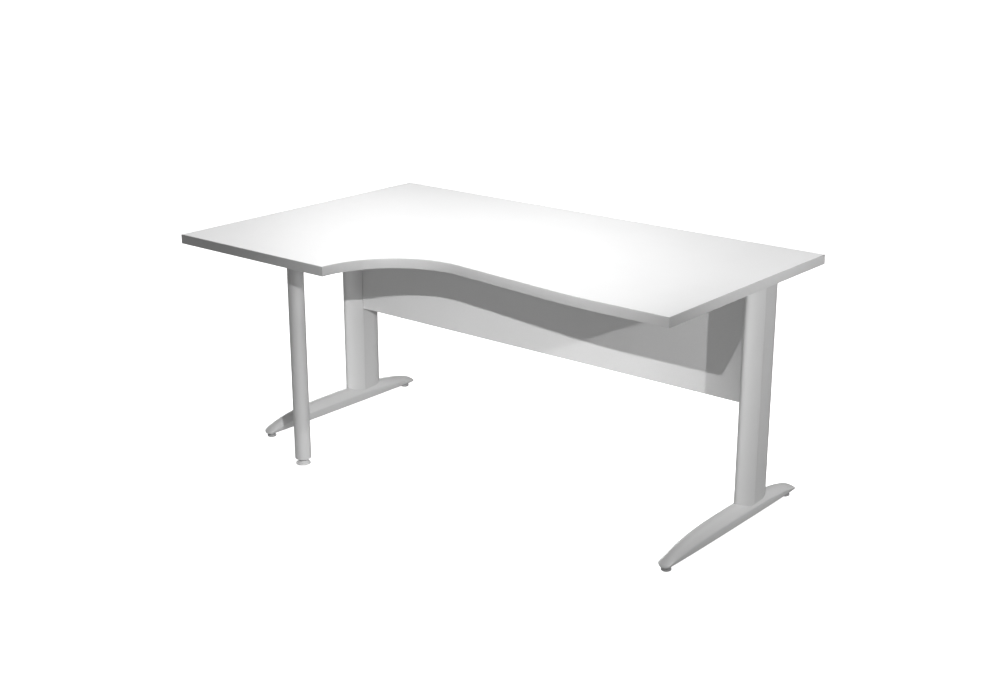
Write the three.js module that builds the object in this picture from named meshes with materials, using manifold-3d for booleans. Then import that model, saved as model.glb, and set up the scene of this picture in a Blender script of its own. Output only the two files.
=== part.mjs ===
// Compact office desk with one deep end, in millimetres, +Z up.
// The origin is on the floor, in the middle of the desk's bounding box, and the sitter's side faces -Y.
import * as THREE from "three";
import { mergeGeometries, mergeVertices } from "three/addons/utils/BufferGeometryUtils.js";
import Module from "manifold-3d";

const wasm = await Module();
wasm.setup();

// Desktop
const deskWidth = 1600;
const deskHeight = 720;
const deepEndDepth = 1000;
const shallowEndDepth = 800;
const topThickness = 28;
const edgingThickness = 2;
const deepFrontLength = 600; // straight front edge of the deep end
const shallowFrontLength = 212; // straight front edge of the shallow end
const waistSetback = 50; // how far the waist lies behind the shallow end's front edge
const swellShare = 0.6; // of the largest bay and swell that the wave has room for
const bayArcSteps = 20;
const swellArcSteps = 6;

// Fits
const cutClearance = 0.3; // between a piece and the one that it is cut or drilled for
const cutOverrun = 1; // how far a cutter runs past the face that it opens
const weldGap = 0.5; // between sheet covers and what they close on
const roundSteps = 16; // sides of a small round piece
const screwSteps = 10;

// Columns: oval section, its widest line at the seam between the front cover and the rear tube
const legInset = 36; // from the desk's end to the column's axis
const columnSetback = 292; // from the desk's rear edge to the column's axis
const columnWidth = 46;
const columnDepth = 152;
const seamAhead = 11; // from the column's axis forward to the seam
const flankEndWidth = 42; // width where the tube's flat flanks meet its rounded end
const rearNoseLength = 42;
const tubeWall = 2;
const coverWall = 1.5;
const saddleDepth = 28; // of the column past the foot's crown, before it is cut to the foot
const noseArcSteps = 9;
const basePlateThickness = 8;

// Cover clips, inside the front cover
const clipReach = 15;
const clipWall = 2.5;
const clipHeight = 18;
const clipEndDistance = 40; // from the ends of the flat part of the column to the outer clips

// Feet
const footFrontReach = 443; // from the column's axis
const footRearReach = 246;
const crownAhead = 108; // from the column's axis forward to the foot's highest point
const crownHeight = 69;
const frontTipHeight = 24; // top of the foot where its front tip rounds off
const rearTipHeight = 19;
const footClearance = 12; // from the floor to the foot's underside
const footMidWidth = 54;
const footTipWidth = 42;
const footNoseLength = 18; // over which the foot's width rounds off to a tip
const noseFullness = 2.6; // how blunt the tips are, seen from above
const tipFallLength = 24; // over which the foot's top rounds down to a tip
const tipFallFullness = 2;
const footWall = 3.5;
const shoulderShare = 0.54; // of the foot's height, where its sides meet its arched top
const undersideShare = 0.7; // of the foot's width, left at its underside
const archPower = 2.4; // how full the arch is beside its middle
const hollowArchPower = 3.2; // fuller than the outside's, so that the wall stays even
const tipFallShare = 0.5; // of the height that the tips lose as they round off
const footCurvePower = 2.8; // how late the foot's curve falls away from the crown
const footCurveRoot = 0.75; // how steeply it meets the tips
const noseStationShares = [0.01, 0.06, 0.2, 0.5, 1];
const footBodySteps = 18;
const archSteps = 7; // on each side of the arch's middle
const seatRise = 6; // of the seat above the foot's crown
const seatMargin = 3; // from the seat's edge to the tube's inner wall
const seatRoofDrop = 22; // from the crown down to the roof of the hollow under the seat
const glideBossLength = 28; // solid stretch of the foot about a glide's insert

// Foot bolts
const boltRadius = 3.9;
const boltHoleRadius = 4.5;
const boltThreadHoleRadius = 4.2;
const boltHeadRadius = 6.5;
const boltHeadHeight = 8;
const boltSocketRadius = 3.4;
const boltSocketDepth = 4;
const boltTail = 4; // of the bolt past the base plate
const boltSpacing = 36;

// Levelling glides
const frontGlideReach = 424; // from the column's axis
const rearGlideReach = 210;
const studRadius = 3.9;
const studBoreRadius = 4.2;
const padSoleThickness = 3;
const padHeight = 8;
const padRadius = 14.5;
const padTopRadius = 11.5;
const collarSides = 6;
const collarWidth = 13; // across the collar's flats
const collarGap = 0.3;
const insertRadius = 6;
const insertHeight = 13;
const studRise = 15; // of the stud above the foot's underside
const studPocketRadius = 4.8;
const studHeadroom = 0.6; // above the stud in its pocket

// Pillar leg
const pillarInset = 286; // from the desk's left end to the pillar's axis
const pillarSetback = 812; // from the desk's rear edge to the pillar's axis
const pillarRadius = 25;
const pillarWall = 1.5;
const pillarSteps = 32;
const pillarPlateSize = 110;
const pillarPlateThickness = 4;
const pillarPlateCorner = 14;
const pillarScrewInset = 14;
const plugFlange = 3;
const plugUnderside = 18; // above the floor
const plugDepth = 30;
const pillarPadRadius = 23;
const pillarPadRim = 4;
const pillarHubRadius = 13;
const pillarPadHeight = 14;
const pillarHubShoulder = 9;
const pillarStudRise = 34; // of the stud above the plug's underside

// Top plates on the columns
const topPlateThickness = 5;
const topPlateWidth = 44;
const topPlateFrontReach = 290;
const topPlateRearReach = 210;
const topPlateScrewEnd = 20;
const topPlateScrewPairs = 3;
const topPlateScrewSpread = 24;

// Modesty panel and its brackets
const panelThickness = 18;
const panelHeight = 350;
const panelEdging = 1;
const panelEndGap = 0.5;
const bracketThickness = 2.5;
const sideBracketHeight = 60;
const sideBracketPanelLeg = 34;
const sideBracketColumnLeg = 26;
const sideBracketEndDistance = 40; // from the panel's top and bottom to the side brackets
const sideBracketScrewInset = 14;
const topBracketLeg = 32;
const topBracketWidth = 50;
const topBracketCount = 3;
const topBracketEndDistance = 360; // from the desk's ends to the outer brackets
const topBracketScrewInset = 12;

// Wood screws and tapping screws
const screwRadius = 2.3;
const screwHoleRadius = 2.8;
const screwPilotRadius = 2.6;
const screwHeadRadius = 4.6;
const screwHeadHeight = 2.6;
const screwHeadTop = 3; // radius of the flat on the head
const boardScrewLength = 22;
const panelScrewLength = 15;
const tappingScrewLength = 13;
const screwCrossRadius = 1.6;
const screwCrossDepth = 1.2;

// Places that follow from the sizes above
const rearY = deepEndDepth / 2;
const deepFrontY = -deepEndDepth / 2;
const shallowFrontY = rearY - shallowEndDepth;
const leftX = -deskWidth / 2;
const rightX = deskWidth / 2;
const undersideZ = deskHeight - topThickness;
const legX = rightX - legInset;
const bayRadius = deepEndDepth - shallowEndDepth + waistSetback;
const bayX = leftX + deepFrontLength + bayRadius;
const swellX = rightX - shallowFrontLength;
const waveRun = swellX - bayX;
const waveRadii = (swellShare * (waveRun ** 2 + waistSetback ** 2)) / (2 * waistSetback);
const swellRadius = waveRadii - bayRadius;
const columnY = rearY - columnSetback;
const columnTopZ = undersideZ - topPlateThickness;
const frontNoseLength = columnDepth / 2 - seamAhead;
const flankEndRear = columnDepth / 2 - rearNoseLength;
const seatTopZ = crownHeight + seatRise;
const seatRoofZ = crownHeight - seatRoofDrop;
const columnBottomZ = crownHeight - saddleDepth;
const tubeCentre = (columnDepth / 2 - seamAhead) / 2;
const tubeHalfDepth = (columnDepth / 2 + seamAhead) / 2;
const panelFrontY = columnY - seamAhead;
const panelRearY = panelFrontY + panelThickness;
const panelBottomZ = undersideZ - panelHeight;
const panelEndX = legX - columnWidth / 2 - panelEndGap;
const pillarX = leftX + pillarInset;
const pillarY = rearY - pillarSetback;
const pillarTopZ = undersideZ - pillarPlateThickness;

// The slope of the straight line that touches both the bay and the swell
const waveReach = Math.hypot(waveRun, waveRadii - waistSetback);
const waveSlope = Math.atan2(waveRun, waveRadii - waistSetback) - Math.acos(waveRadii / waveReach);

// Finishes
const finish = (color, roughness, metalness) => {
  return () => new THREE.MeshStandardMaterial({ color, roughness, metalness });
};
const whiteMelamine = finish(0xf4f4f2, 0.42, 0);
const greyMelamine = finish(0xc4c6c8, 0.5, 0);
const greyEdging = finish(0xa9abad, 0.45, 0);
const silverPaint = finish(0xb9bbbd, 0.4, 0.35);
const zincSteel = finish(0xc9cbcc, 0.35, 0.9);
const darkPlastic = finish(0x4c4e50, 0.6, 0);
const lightPlastic = finish(0xbcbec0, 0.5, 0);

// Solids and shapes

function toSolid(geometry) {
  const bare = geometry.clone();
  bare.deleteAttribute("normal");
  bare.deleteAttribute("uv");
  const merged = mergeVertices(bare);
  const vertProperties = new Float32Array(merged.attributes.position.array);
  const triVerts = new Uint32Array(merged.index.array);
  return new wasm.Manifold(new wasm.Mesh({ numProp: 3, vertProperties, triVerts }));
}

function toGeometry(solid) {
  const mesh = solid.getMesh();
  const geometry = new THREE.BufferGeometry();
  geometry.setAttribute("position", new THREE.BufferAttribute(mesh.vertProperties, 3));
  geometry.setIndex(new THREE.BufferAttribute(mesh.triVerts, 1));
  geometry.computeVertexNormals();
  return geometry;
}

function cut(geometry, cutters) {
  let solid = toSolid(geometry);
  for (const cutter of cutters) {
    solid = solid.subtract(toSolid(cutter));
  }
  return toGeometry(solid);
}

function join(geometries) {
  let solid = toSolid(geometries[0]);
  for (const geometry of geometries.slice(1)) {
    solid = solid.add(toSolid(geometry));
  }
  return toGeometry(solid);
}

// Copies of one geometry, each moved to its own place, as one geometry of separate solids.
function copies(geometry, places) {
  const bare = geometry.index ? geometry.toNonIndexed() : geometry.clone();
  bare.deleteAttribute("uv");
  return mergeGeometries(places.map((place) => bare.clone().translate(place.x, place.y, place.z)));
}

// The same piece for the other end of the desk.
function mirrorX(geometry) {
  const mirrored = geometry.index ? geometry.toNonIndexed() : geometry.clone();
  const position = mirrored.attributes.position;
  for (let corner = 0; corner < position.count; corner += 3) {
    const points = [0, 2, 1].map((step) => {
      return new THREE.Vector3().fromBufferAttribute(position, corner + step);
    });
    points.forEach((point, step) => position.setXYZ(corner + step, -point.x, point.y, point.z));
  }
  mirrored.computeVertexNormals();
  return mirrored;
}

// A flat outline of [x, y] points, raised from one height to another.
function prism(points, bottomZ, topZ, holes = []) {
  const shape = new THREE.Shape(points.map(([x, y]) => new THREE.Vector2(x, y)));
  for (const hole of holes) {
    shape.holes.push(new THREE.Path(hole.map(([x, y]) => new THREE.Vector2(x, y))));
  }
  const geometry = new THREE.ExtrudeGeometry(shape, { depth: topZ - bottomZ, bevelEnabled: false });
  return geometry.translate(0, 0, bottomZ);
}

function box(lowX, highX, lowY, highY, lowZ, highZ) {
  const geometry = new THREE.BoxGeometry(highX - lowX, highY - lowY, highZ - lowZ);
  return geometry.translate((lowX + highX) / 2, (lowY + highY) / 2, (lowZ + highZ) / 2);
}

// A turned piece about the Z axis, from [radius, height] points that start and end on the axis.
function turned(points, steps = roundSteps) {
  const profile = points.map(([radius, height]) => new THREE.Vector2(radius, height));
  return new THREE.LatheGeometry(profile, steps).rotateX(Math.PI / 2);
}

function rod(radius, lowZ, highZ, steps = roundSteps) {
  return turned([[0, lowZ], [radius, lowZ], [radius, highZ], [0, highZ]], steps);
}

function mirrorOutline(half) {
  const other = half.filter(([x]) => x > 0).map(([x, y]) => [-x, y]);
  return [...half, ...other.reverse()];
}

// Fasteners, each with its head's seat at height 0 and its shank rising along +Z

function screw(length) {
  return turned([
    [0, -screwHeadHeight + screwCrossDepth],
    [screwCrossRadius, -screwHeadHeight],
    [screwHeadTop, -screwHeadHeight],
    [screwHeadRadius, 0],
    [screwRadius, 0],
    [screwRadius, length - screwRadius],
    [0, length],
  ], screwSteps);
}

function footBolt(length) {
  return turned([
    [0, boltSocketDepth - boltHeadHeight],
    [boltSocketRadius, boltSocketDepth - boltHeadHeight],
    [boltSocketRadius, -boltHeadHeight],
    [boltHeadRadius, -boltHeadHeight],
    [boltHeadRadius, 0],
    [boltRadius, 0],
    [boltRadius, length],
    [0, length],
  ]);
}

// Desktop

function wavePoints(inset) {
  const points = [];
  const innerBay = bayRadius + inset;
  const firstAngle = Math.PI - Math.asin(inset / innerBay);
  const lastAngle = Math.PI / 2 - waveSlope;
  for (let step = 0; step <= bayArcSteps; step += 1) {
    const angle = firstAngle + (lastAngle - firstAngle) * (step / bayArcSteps);
    points.push([bayX + innerBay * Math.cos(angle), deepFrontY + innerBay * Math.sin(angle)]);
  }
  const innerSwell = swellRadius - inset;
  for (let step = 0; step <= swellArcSteps; step += 1) {
    const angle = -waveSlope * (1 - step / swellArcSteps);
    const y = shallowFrontY + swellRadius - innerSwell * Math.cos(angle);
    points.push([swellX + innerSwell * Math.sin(angle), y]);
  }
  points.push([rightX - inset, shallowFrontY + inset]);
  return points;
}

// The desktop's sides, counter-clockwise from the rear left corner, drawn in by an inset.
function topSides(inset) {
  const rearLeft = [leftX + inset, rearY - inset];
  const frontLeft = [leftX + inset, deepFrontY + inset];
  const wave = wavePoints(inset);
  const rearRight = [rightX - inset, rearY - inset];
  return {
    left: [rearLeft, frontLeft],
    deep_front: [frontLeft, wave[0]],
    wave,
    right: [wave[wave.length - 1], rearRight],
    rear: [rearRight, rearLeft],
  };
}

function topPlateScrewPlaces() {
  const places = [];
  const firstY = -topPlateFrontReach + topPlateScrewEnd;
  const lastY = topPlateRearReach - topPlateScrewEnd;
  for (let pair = 0; pair < topPlateScrewPairs; pair += 1) {
    const y = firstY + (lastY - firstY) * (pair / (topPlateScrewPairs - 1));
    places.push([-topPlateScrewSpread / 2, y], [topPlateScrewSpread / 2, y]);
  }
  return places;
}

function pillarScrewPlaces() {
  const reach = pillarPlateSize / 2 - pillarScrewInset;
  return [[-reach, -reach], [reach, -reach], [reach, reach], [-reach, reach]];
}

function topBracketCentres() {
  const firstX = leftX + topBracketEndDistance;
  const pitch = (deskWidth - 2 * topBracketEndDistance) / (topBracketCount - 1);
  return Array.from({ length: topBracketCount }, (_, index) => firstX + pitch * index);
}

function topBracketScrewPlaces() {
  const reach = topBracketWidth / 2 - topBracketScrewInset;
  const offset = topBracketLeg - topBracketScrewInset;
  return [[-reach, offset], [reach, offset]];
}

// The pilot holes in the board's underside, above the plates and brackets that are screwed to it.
function boardPilots() {
  const shifted = (places, centreX, centreY) => places.map(([x, y]) => {
    return { x: centreX + x, y: centreY + y, z: undersideZ };
  });
  return [
    ...shifted(topPlateScrewPlaces(), -legX, columnY),
    ...shifted(topPlateScrewPlaces(), legX, columnY),
    ...shifted(pillarScrewPlaces(), pillarX, pillarY),
    ...topBracketCentres().flatMap((centre) => shifted(topBracketScrewPlaces(), centre, panelRearY)),
  ];
}

function desktopBoard() {
  const sides = topSides(edgingThickness);
  const outline = [...sides.left, ...sides.wave, sides.rear[0]];
  const pilot = rod(screwPilotRadius, -cutOverrun, boardScrewLength + cutClearance, screwSteps);
  return cut(prism(outline, undersideZ, deskHeight), [copies(pilot, boardPilots())]);
}

function edgeBand(side) {
  const outer = topSides(0)[side];
  const inner = topSides(edgingThickness)[side];
  return prism([...outer, ...[...inner].reverse()], undersideZ, deskHeight);
}

// Feet, in a leg's own frame: the origin is on the floor below the column's axis

function footShare(y) {
  const fromCrown = y + crownAhead;
  const reach = fromCrown < 0 ? footFrontReach - crownAhead : footRearReach + crownAhead;
  const part = Math.min(Math.abs(fromCrown) / reach, 1);
  return (1 - part ** footCurvePower) ** footCurveRoot;
}

// How full the foot still is where its tips round off, from nothing at a tip to one.
function tipShare(y, length, fullness) {
  const fromTip = Math.min(y + footFrontReach, footRearReach - y, length);
  return (1 - (1 - fromTip / length) ** fullness) ** (1 / fullness);
}

function footTopZ(y) {
  const tipHeight = y < -crownAhead ? frontTipHeight : rearTipHeight;
  const full = tipHeight + (crownHeight - tipHeight) * footShare(y);
  const fallen = tipFallShare * (1 - tipShare(y, tipFallLength, tipFallFullness));
  return footClearance + (full - footClearance) * (1 - fallen);
}

function footHalfWidth(y) {
  const width = footTipWidth + (footMidWidth - footTipWidth) * footShare(y);
  return (tipShare(y, footNoseLength, noseFullness) * width) / 2;
}

// An arched top over sides that lean in, counter-clockwise as seen from the front.
function archedSection(y, halfWidth, bottomZ, topZ, power = archPower) {
  const shoulderZ = bottomZ + (topZ - bottomZ) * shoulderShare;
  const half = [[halfWidth * undersideShare, bottomZ]];
  for (let step = archSteps; step >= 0; step -= 1) {
    const across = step / archSteps;
    half.push([halfWidth * across, topZ - (topZ - shoulderZ) * across ** power]);
  }
  const other = half.slice(0, -1).reverse().map(([x, z]) => [-x, z]);
  return [...half, ...other].map(([x, z]) => [x, y, z]);
}

// A closed skin over sections of equally many points, ordered from front to rear.
function loft(sections) {
  const count = sections[0].length;
  const last = (sections.length - 1) * count;
  const index = [];
  for (let ring = 0; ring < last; ring += count) {
    for (let point = 0; point < count; point += 1) {
      const next = (point + 1) % count;
      index.push(ring + point, ring + count + point, ring + count + next);
      index.push(ring + point, ring + count + next, ring + next);
    }
  }
  for (let point = 1; point < count - 1; point += 1) {
    index.push(0, point, point + 1);
    index.push(last, last + point + 1, last + point);
  }
  const geometry = new THREE.BufferGeometry();
  geometry.setAttribute("position", new THREE.Float32BufferAttribute(sections.flat(2), 3));
  geometry.setIndex(index);
  geometry.computeVertexNormals();
  return geometry;
}

function footStations() {
  const front = noseStationShares.map((share) => share * footNoseLength - footFrontReach);
  const rear = noseStationShares.map((share) => footRearReach - share * footNoseLength).reverse();
  const first = front[front.length - 1];
  const length = rear[0] - first;
  const between = Array.from({ length: footBodySteps - 1 }, (_, step) => {
    return first + length * ((step + 1) / footBodySteps);
  });
  return [...front, ...between, ...rear];
}

// The foot's outside, grown by a clearance where it serves as a cutter.
function footOutside(grow) {
  return loft(footStations().map((y) => {
    return archedSection(y, footHalfWidth(y) + grow, footClearance - grow, footTopZ(y) + grow);
  }));
}

// The hollow under the foot: deep in front of and behind the seat, shallow under it.
function footHollow() {
  const first = -frontGlideReach + glideBossLength / 2;
  const last = rearGlideReach - glideBossLength / 2;
  const seatFirst = tubeCentre - tubeHalfDepth;
  const seatLast = tubeCentre + tubeHalfDepth;
  const between = footStations().filter((y) => y > first + footWall && y < last - footWall);
  const outside = between.filter((y) => y < seatFirst - footWall || y > seatLast + footWall);
  const steps = [seatFirst - footWall, seatFirst, seatLast, seatLast + footWall];
  const stations = [first, ...outside, ...steps, last].sort((one, other) => one - other);
  return loft(stations.map((y) => {
    const underSeat = y >= seatFirst && y <= seatLast;
    const roof = underSeat ? seatRoofZ : footTopZ(y) - footWall;
    const half = footHalfWidth(y) - footWall;
    return archedSection(y, half, footClearance - cutOverrun, roof, hollowArchPower);
  }));
}

// One of the column's rounded ends, from its flank to its middle: half an ellipse of the given size.
function columnNose(halfWidth, start, length) {
  return Array.from({ length: noseArcSteps + 1 }, (_, step) => {
    const angle = (Math.PI / 2) * (step / noseArcSteps);
    return [step < noseArcSteps ? halfWidth * Math.cos(angle) : 0, start + length * Math.sin(angle)];
  });
}

function rearNose(inset) {
  return columnNose(flankEndWidth / 2 - inset, flankEndRear, rearNoseLength - inset);
}

// Where the column's side lies beside its seam, at a distance along the leg.
function flankX(inset, y) {
  const half = columnWidth / 2 - inset;
  const ahead = -seamAhead - y;
  if (ahead > 0) {
    return half * Math.sqrt(1 - (ahead / (frontNoseLength - inset)) ** 2);
  }
  const fall = (columnWidth - flankEndWidth) / 2;
  return half + fall * (ahead / (flankEndRear + seamAhead));
}

function tubeInner(inset) {
  const first = [flankX(inset, -seamAhead + inset), -seamAhead + inset];
  return mirrorOutline([first, ...rearNose(inset)]);
}

function boltPlaces() {
  return [-1, 1].map((side) => ({ x: 0, y: tubeCentre + (side * boltSpacing) / 2, z: 0 }));
}

function glidePlaces() {
  return [-frontGlideReach, rearGlideReach].map((y) => ({ x: 0, y, z: 0 }));
}

function foot() {
  const seat = prism(tubeInner(tubeWall + seatMargin), seatRoofZ + cutOverrun, seatTopZ);
  const boltHole = turned([
    [0, footClearance],
    [boltHeadRadius + cutClearance, footClearance],
    [boltHeadRadius + cutClearance, seatRoofZ],
    [boltHoleRadius, seatRoofZ],
    [boltHoleRadius, seatTopZ + cutOverrun],
    [0, seatTopZ + cutOverrun],
  ]);
  const pocketTop = footClearance + studRise + studHeadroom;
  const insertHole = turned([
    [0, footClearance - cutOverrun],
    [insertRadius + cutClearance, footClearance - cutOverrun],
    [insertRadius + cutClearance, footClearance + insertHeight + cutClearance],
    [studPocketRadius, footClearance + insertHeight + cutClearance],
    [studPocketRadius, pocketTop],
    [0, pocketTop],
  ]);
  const body = cut(footOutside(0), [footHollow()]);
  const whole = join([body, seat]);
  return cut(whole, [copies(boltHole, boltPlaces()), copies(insertHole, glidePlaces())]);
}

// Column pieces, in a leg's own frame

function overFoot(geometry) {
  return cut(geometry, [footOutside(cutClearance)]);
}

function columnTube() {
  const outer = mirrorOutline([[columnWidth / 2, -seamAhead], ...rearNose(0)]);
  const tube = prism(outer, columnBottomZ, columnTopZ, [tubeInner(tubeWall)]);
  const hole = rod(screwPilotRadius, 0, tappingScrewLength, screwSteps);
  return cut(overFoot(tube), sideBracketHeights().map((z) => onColumnFlank(hole, z)));
}

function columnCover() {
  const seamY = -seamAhead - weldGap;
  const outline = (inset) => {
    const nose = columnNose(columnWidth / 2 - inset, -seamAhead, inset - frontNoseLength).slice(1);
    return mirrorOutline([[flankX(inset, seamY), seamY], ...nose]);
  };
  const band = [...outline(0), ...outline(coverWall).reverse()];
  return overFoot(prism(band, columnBottomZ, columnTopZ - weldGap));
}

function basePlate() {
  const plate = prism(tubeInner(tubeWall + cutClearance), seatTopZ, seatTopZ + basePlateThickness);
  const hole = rod(boltThreadHoleRadius, seatTopZ - cutOverrun, seatTopZ + basePlateThickness + cutOverrun);
  return cut(plate, [copies(hole, boltPlaces())]);
}

function topPlate() {
  const half = topPlateWidth / 2;
  const plate = box(-half, half, -topPlateFrontReach, topPlateRearReach, columnTopZ, undersideZ);
  const hole = rod(screwHoleRadius, columnTopZ - cutOverrun, undersideZ + cutOverrun, screwSteps);
  return cut(plate, [copies(hole, topPlateScrewPlaces().map(([x, y]) => ({ x, y, z: 0 })))]);
}

function coverClip() {
  const inset = coverWall + cutClearance;
  const backY = -seamAhead;
  const endY = backY - clipReach;
  const innerBackY = backY - clipWall;
  const half = [
    [flankX(inset, backY), backY],
    [flankX(inset, endY), endY],
    [flankX(inset + clipWall, endY), endY],
    [flankX(inset + clipWall, innerBackY), innerBackY],
  ];
  const other = half.map(([x, y]) => [-x, y]).reverse();
  return prism([...half, ...other], -clipHeight / 2, clipHeight / 2);
}

function clipHeights() {
  return [seatTopZ + clipEndDistance, columnTopZ - clipEndDistance];
}

// Side brackets: one leg lies on the panel's back, the other on the column's rear flank

function sideBracketHeights() {
  const half = sideBracketHeight / 2;
  return [panelBottomZ + sideBracketEndDistance + half, undersideZ - sideBracketEndDistance - half];
}

function flankAngle() {
  return Math.atan((columnWidth - flankEndWidth) / 2 / (flankEndRear + seamAhead));
}

// Moves a piece that points along +Z so that it points into the column's flank, at its bracket.
function onColumnFlank(geometry, z) {
  const along = panelRearY - columnY + sideBracketColumnLeg - sideBracketScrewInset;
  const lift = bracketThickness + cutClearance;
  const piece = geometry.clone().translate(0, 0, -lift).rotateY(-Math.PI / 2);
  return piece.rotateZ(flankAngle()).translate(flankX(0, along), along, z);
}

function sideBracket(z) {
  const slope = Math.tan(flankAngle());
  const backY = panelRearY - columnY;
  const columnFace = (y) => flankX(-cutClearance, y);
  const wall = bracketThickness / Math.cos(flankAngle());
  const farY = backY + sideBracketColumnLeg;
  const innerY = backY + bracketThickness;
  const legEndX = flankX(0, backY) + sideBracketPanelLeg;
  const outline = [
    [columnFace(backY), backY],
    [legEndX, backY],
    [legEndX, innerY],
    [columnFace(innerY) + wall, innerY],
    [columnFace(farY) + wall, farY - slope * bracketThickness],
    [columnFace(farY), farY],
  ];
  const half = sideBracketHeight / 2;
  const blank = prism(outline, z - half, z + half);
  const panelHoles = sideBracketScrewPlaces(z).map((place) => throughBracket(place));
  const columnHole = rod(screwHoleRadius, -cutOverrun, bracketThickness + cutOverrun, screwSteps);
  return cut(blank, [...panelHoles, onColumnFlank(columnHole, z)]);
}

function sideBracketScrewPlaces(z) {
  const x = flankX(0, panelRearY - columnY) + sideBracketPanelLeg - sideBracketScrewInset;
  const reach = sideBracketHeight / 2 - sideBracketScrewInset;
  return [z - reach, z + reach].map((height) => ({ x, y: panelRearY - columnY, z: height }));
}

// Points a piece that rises along +Z forward, into the back of the panel.
function intoPanel(geometry, place) {
  return geometry.clone().rotateX(Math.PI / 2).translate(place.x, place.y + bracketThickness, place.z);
}

function throughBracket(place) {
  const hole = rod(screwHoleRadius, -cutOverrun, bracketThickness + cutOverrun, screwSteps);
  return intoPanel(hole, place);
}

// Modesty panel

// Every screw that goes into the back of the panel, in the desk's frame.
function panelScrewPlaces() {
  const side = sideBracketHeights().flatMap((z) => sideBracketScrewPlaces(z));
  const sides = [-1, 1].flatMap((end) => side.map(({ x, z }) => {
    return { x: end * (legX - x), y: panelRearY, z };
  }));
  const drop = undersideZ - topBracketLeg + topBracketScrewInset;
  const reach = topBracketWidth / 2 - topBracketScrewInset;
  const tops = topBracketCentres().flatMap((centre) => [-reach, reach].map((offset) => {
    return { x: centre + offset, y: panelRearY, z: drop };
  }));
  return { sides, tops };
}

function modestyPanel() {
  const endX = panelEndX - panelEdging;
  const board = box(-endX, endX, panelFrontY, panelRearY, panelBottomZ + panelEdging, undersideZ);
  const pilot = rod(screwPilotRadius, 0, panelScrewLength + cutClearance, screwSteps);
  const { sides, tops } = panelScrewPlaces();
  return cut(board, [...sides, ...tops].map((place) => intoPanel(pilot, place)));
}

function panelEndBand(end) {
  const outer = end * panelEndX;
  const inner = end * (panelEndX - panelEdging);
  const low = Math.min(outer, inner);
  const high = Math.max(outer, inner);
  return box(low, high, panelFrontY, panelRearY, panelBottomZ + panelEdging, undersideZ);
}

function panelBottomBand() {
  return box(-panelEndX, panelEndX, panelFrontY, panelRearY, panelBottomZ, panelBottomZ + panelEdging);
}

function topBracket(centre) {
  const half = topBracketWidth / 2;
  const lowZ = undersideZ - topBracketLeg;
  const flangeZ = undersideZ - bracketThickness;
  const backY = panelRearY;
  const upright = box(centre - half, centre + half, backY, backY + bracketThickness, lowZ, undersideZ);
  const flange = box(centre - half, centre + half, backY, backY + topBracketLeg, flangeZ, undersideZ);
  const boardHole = rod(screwHoleRadius, -bracketThickness - cutOverrun, cutOverrun, screwSteps);
  const boardHoles = topBracketScrewPlaces().map(([x, y]) => {
    return { x: centre + x, y: backY + y, z: undersideZ };
  });
  const ownPlaces = panelScrewPlaces().tops.filter(({ x }) => Math.abs(x - centre) < half);
  const panelHoles = ownPlaces.map(throughBracket);
  return cut(join([upright, flange]), [copies(boardHole, boardHoles), ...panelHoles]);
}

// Levelling glides, with the floor at height 0

function footPad() {
  return turned([
    [0, 0],
    [padRadius, 0],
    [padRadius, padSoleThickness],
    [padTopRadius, padHeight],
    [studBoreRadius, padHeight],
    [studBoreRadius, padSoleThickness],
    [0, padSoleThickness],
  ]);
}

function collar(lowZ, highZ) {
  const cornerRadius = collarWidth / 2 / Math.cos(Math.PI / collarSides);
  return rod(cornerRadius, lowZ, highZ, collarSides);
}

function stud(collarLowZ, collarHighZ, topZ) {
  const shank = rod(studRadius, padSoleThickness + collarGap, topZ);
  return join([shank, collar(collarLowZ, collarHighZ)]);
}

function footStud() {
  return stud(padHeight + collarGap, footClearance - collarGap, footClearance + studRise);
}

function footInsert() {
  return sleeve(insertRadius, studBoreRadius, footClearance, footClearance + insertHeight);
}

// A ring about the Z axis: a closed profile that starts and ends at the same point.
function sleeve(outerRadius, innerRadius, lowZ, highZ) {
  return turned([
    [innerRadius, lowZ],
    [outerRadius, lowZ],
    [outerRadius, highZ],
    [innerRadius, highZ],
    [innerRadius, lowZ],
  ]);
}

// Pillar leg, in its own frame: the origin is on the floor below its axis

function pillarTube() {
  const lowZ = plugUnderside + plugFlange;
  return turned([
    [pillarRadius - pillarWall, lowZ],
    [pillarRadius, lowZ],
    [pillarRadius, pillarTopZ],
    [pillarRadius - pillarWall, pillarTopZ],
    [pillarRadius - pillarWall, lowZ],
  ], pillarSteps);
}

function pillarPlate() {
  const half = pillarPlateSize / 2;
  const short = half - pillarPlateCorner;
  const corners = [[short, -half], [half, -short], [half, short], [short, half]];
  const others = corners.map(([x, y]) => [-x, -y]);
  const plate = prism([...corners, ...others], pillarTopZ, undersideZ);
  const hole = rod(screwHoleRadius, pillarTopZ - cutOverrun, undersideZ + cutOverrun, screwSteps);
  return cut(plate, [copies(hole, pillarScrewPlaces().map(([x, y]) => ({ x, y, z: 0 })))]);
}

function pillarPlug() {
  const neckRadius = pillarRadius - pillarWall - cutClearance;
  const flangeTop = plugUnderside + plugFlange;
  return turned([
    [studBoreRadius, plugUnderside],
    [pillarRadius, plugUnderside],
    [pillarRadius, flangeTop],
    [neckRadius, flangeTop],
    [neckRadius, flangeTop + plugDepth],
    [studBoreRadius, flangeTop + plugDepth],
    [studBoreRadius, plugUnderside],
  ], pillarSteps);
}

function pillarPad() {
  return turned([
    [0, 0],
    [pillarPadRadius, 0],
    [pillarPadRadius, pillarPadRim],
    [pillarHubRadius, pillarHubShoulder],
    [pillarHubRadius, pillarPadHeight],
    [studBoreRadius, pillarPadHeight],
    [studBoreRadius, padSoleThickness],
    [0, padSoleThickness],
  ], pillarSteps);
}

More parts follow.
